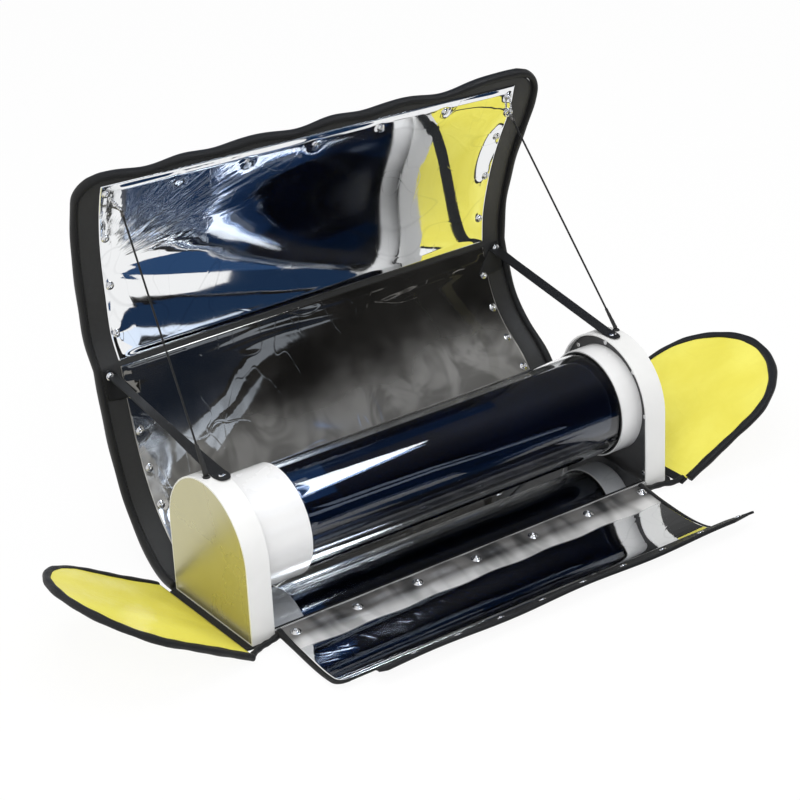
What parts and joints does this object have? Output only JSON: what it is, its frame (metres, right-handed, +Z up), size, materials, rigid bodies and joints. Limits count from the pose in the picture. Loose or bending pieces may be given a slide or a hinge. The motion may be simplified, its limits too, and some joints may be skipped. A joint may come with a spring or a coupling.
{
  "type": "portable solar grill",
  "caption": "Tabletop solar grill: an evacuated glass cooking tube between two end housings, a slide-out tray, folding mirror-film lid panels and flaps on a fabric bag.",
  "frame": {"origin": "centre of the base's underside, on the ground", "axes": "+X along the glass tube towards the tray's open end, +Y to the rear where the lid stands, +Z up"},
  "size_m": [0.935, 0.4479, 0.4377],
  "materials": {
    "black_fabric": "coarse black woven nylon",
    "yellow_fabric": "coated yellow fabric, slightly glossy, creased",
    "grey_fabric": "grey inner lining",
    "black_webbing": "black woven tape",
    "mirror_film": "silvered polyester film, wrinkled",
    "mirror_sheet": "polished mirror sheet",
    "white_coat": "white powder coat",
    "dark_plate": "satin dark metal",
    "white_plastic": "white moulded plastic",
    "clear_glass": "clear borosilicate glass",
    "coated_glass": "dark blue absorber coating on glass",
    "steel": "bare stainless steel",
    "rivet_metal": "nickel plated",
    "black_rubber": "matte black silicone",
    "black_plastic": "matte black heat-proof plastic",
    "cord_black": "thin black braided cord",
    "clasp_dark": "blackened metal"
  },
  "bodies": {
    "base": {"bag_floor": "black_fabric", "base_tray": "steel", "trough_mirror": "mirror_sheet", "front_clamp_rail": "steel", "rear_clamp_rail": "steel", "front_rail_screws": "rivet_metal", "rear_rail_screws": "rivet_metal", "left_housing_shell": "white_coat", "right_housing_shell": "white_coat", "left_end_plate": "white_coat", "right_end_plate": "white_coat", "left_inner_plate": "dark_plate", "right_inner_plate": "dark_plate", "left_plate_screws": "rivet_metal", "right_plate_screws": "rivet_metal", "left_collar": "white_plastic", "right_collar": "white_plastic", "left_tube_gasket": "black_rubber", "right_tube_gasket": "black_rubber", "tube_end_cushion": "black_rubber", "mouth_liner": "black_plastic", "outer_glass_tube": "clear_glass", "inner_glass_tube": "coated_glass", "tube_support_clip": "steel", "left_strap": "black_webbing", "right_strap": "black_webbing", "strap_rivets": "rivet_metal", "left_stay_cord": "cord_black", "right_stay_cord": "cord_black", "cord_sleeves": "black_plastic"},
    "tray": {"cooking_tray": "steel", "tray_plug": "black_plastic", "plug_seal": "black_rubber", "plug_face": "black_plastic", "handle_ears": "steel"},
    "handle": {"tray_handle": "steel"},
    "lid_lower": {"lid_lower_fabric": "grey_fabric", "lid_lower_film": "mirror_film", "lid_lower_binding": "black_webbing", "lid_lower_rivets": "rivet_metal"},
    "lid_upper": {"lid_upper_fabric": "grey_fabric", "lid_upper_film": "mirror_film", "lid_upper_binding": "black_webbing", "lid_upper_rivets": "rivet_metal", "corner_grommets": "rivet_metal", "cord_clasps": "clasp_dark"},
    "front_flap": {"front_flap_fabric": "black_fabric", "front_flap_film": "mirror_film", "front_flap_rivets": "rivet_metal", "front_hem_strip": "black_webbing", "hem_eyelets": "rivet_metal"},
    "left_flap": {"left_flap_fabric": "yellow_fabric", "left_flap_binding": "black_webbing"},
    "right_tape": {"right_flap_tape": "yellow_fabric"},
    "right_flap": {"right_flap_fabric": "yellow_fabric", "right_flap_binding": "black_webbing"}
  },
  "joints": [
    {"name": "tray_slide", "type": "slide", "parent": "base", "child": "tray", "axis": [1, 0, 0], "range_m": [0, 0.3]},
    {"name": "tray_handle_fold", "type": "hinge", "parent": "tray", "child": "handle", "pos_m": [0.2814, 0, 0.097], "axis": [0, -1, 0], "range_deg": [0, 90]},
    {"name": "lid_lower_fold", "type": "hinge", "parent": "base", "child": "lid_lower", "pos_m": [0, 0.0788, 0.0063], "axis": [-1, 0, 0], "range_deg": [-34, 0], "deforming": ["left_strap", "right_strap", "left_stay_cord", "right_stay_cord"]},
    {"name": "lid_upper_fold", "type": "hinge", "parent": "lid_lower", "child": "lid_upper", "pos_m": [0, 0.2131, 0.2118], "axis": [-0.9995, -0.0286, 0.0125], "range_deg": [-56, 0]},
    {"name": "front_flap_fold", "type": "hinge", "parent": "base", "child": "front_flap", "pos_m": [0, -0.0776, 0.0118], "axis": [1, 0, 0], "range_deg": [-84, 0]},
    {"name": "left_flap_fold", "type": "hinge", "parent": "base", "child": "left_flap", "pos_m": [-0.29, 0, 0.003], "axis": [0, -1, 0], "range_deg": [-60, 30]},
    {"name": "right_tape_fold", "type": "hinge", "parent": "base", "child": "right_tape", "pos_m": [0.29, 0, 0.003], "axis": [0, 1, 0], "range_deg": [0, 25.01]},
    {"name": "right_flap_fold", "type": "hinge", "parent": "right_tape", "child": "right_flap", "pos_m": [0.29683, 0, 0.00751], "axis": [0, 1, 0], "range_deg": [-65, 0]}
  ],
  "couplings": [
    {"joint": "right_tape_fold", "follows": "tray_slide", "rad_per_m": 1.4544}
  ]
}
